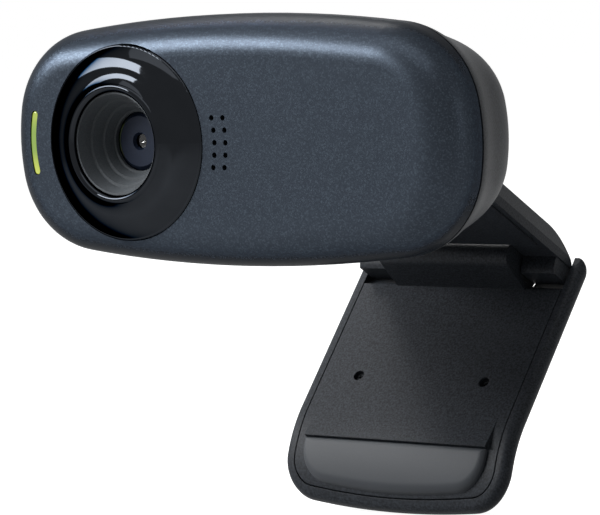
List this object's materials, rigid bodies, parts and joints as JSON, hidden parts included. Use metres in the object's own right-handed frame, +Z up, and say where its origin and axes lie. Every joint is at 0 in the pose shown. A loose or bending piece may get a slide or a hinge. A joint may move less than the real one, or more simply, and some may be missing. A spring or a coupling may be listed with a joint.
{
  "type": "webcam with folding display clip",
  "caption": "Wide rounded webcam head with an off-centre lens, on a folding clip whose arm and foot plate hook over the top edge of a display.",
  "frame": {"origin": "middle of the arm's underside, where the clip sits on a display", "axes": "+X to the right seen from the front, -Y where the lens looks, +Z up"},
  "size_m": [0.071, 0.0602, 0.0684],
  "materials": {
    "front_paint": "metallic charcoal paint with a fine flake, satin",
    "bezel_gloss": "polished black",
    "lens_matt": "fine matt black",
    "lens_glass": "coated optical glass",
    "shell_plastic": "fine-grained dark charcoal",
    "pad_rubber": "matt moulded grey rubber",
    "boot_rubber": "soft black",
    "light_guide": "clear bar lit yellow-green",
    "board_laminate": "green solder mask",
    "chip_black": "moulded chip black",
    "mic_can": "plain drawn can",
    "screw_steel": "blackened",
    "pin_steel": "plain turned",
    "washer_nylon": "natural nylon"
  },
  "bodies": {
    "arm": {"arm_shell": "shell_plastic", "arm_panel": "shell_plastic", "arm_screws": "screw_steel"},
    "head": {"front_cover": "front_paint", "lens_bezel": "bezel_gloss", "lens_hood": "lens_matt", "lens_barrel": "lens_matt", "lens_holder": "lens_matt", "front_lens": "lens_glass", "rear_lens": "lens_glass", "infrared_filter": "lens_glass", "rear_cover": "shell_plastic", "microphone_boot": "boot_rubber", "cable_grommet": "boot_rubber", "light_pipe": "light_guide", "status_led": "light_guide", "main_board": "board_laminate", "board_chips": "chip_black", "image_sensor": "chip_black", "cable_header": "chip_black", "microphone": "mic_can", "cover_screws": "screw_steel", "board_screws": "screw_steel", "tilt_pin": "pin_steel", "tilt_washers": "washer_nylon"},
    "leg": {"leg_shell": "shell_plastic", "leg_panel": "shell_plastic", "leg_pad": "pad_rubber", "leg_screws": "screw_steel", "fold_pin": "pin_steel", "fold_washers": "washer_nylon"}
  },
  "joints": [
    {"name": "head_tilt", "type": "hinge", "parent": "arm", "child": "head", "pos_m": [0, -0.01146, 0.00869], "axis": [1, 0, 0], "range_deg": [-45, 20]},
    {"name": "leg_fold", "type": "hinge", "parent": "arm", "child": "leg", "pos_m": [0, 0.01701, -0.01074], "axis": [1, 0, 0], "range_deg": [-58, 70]}
  ]
}
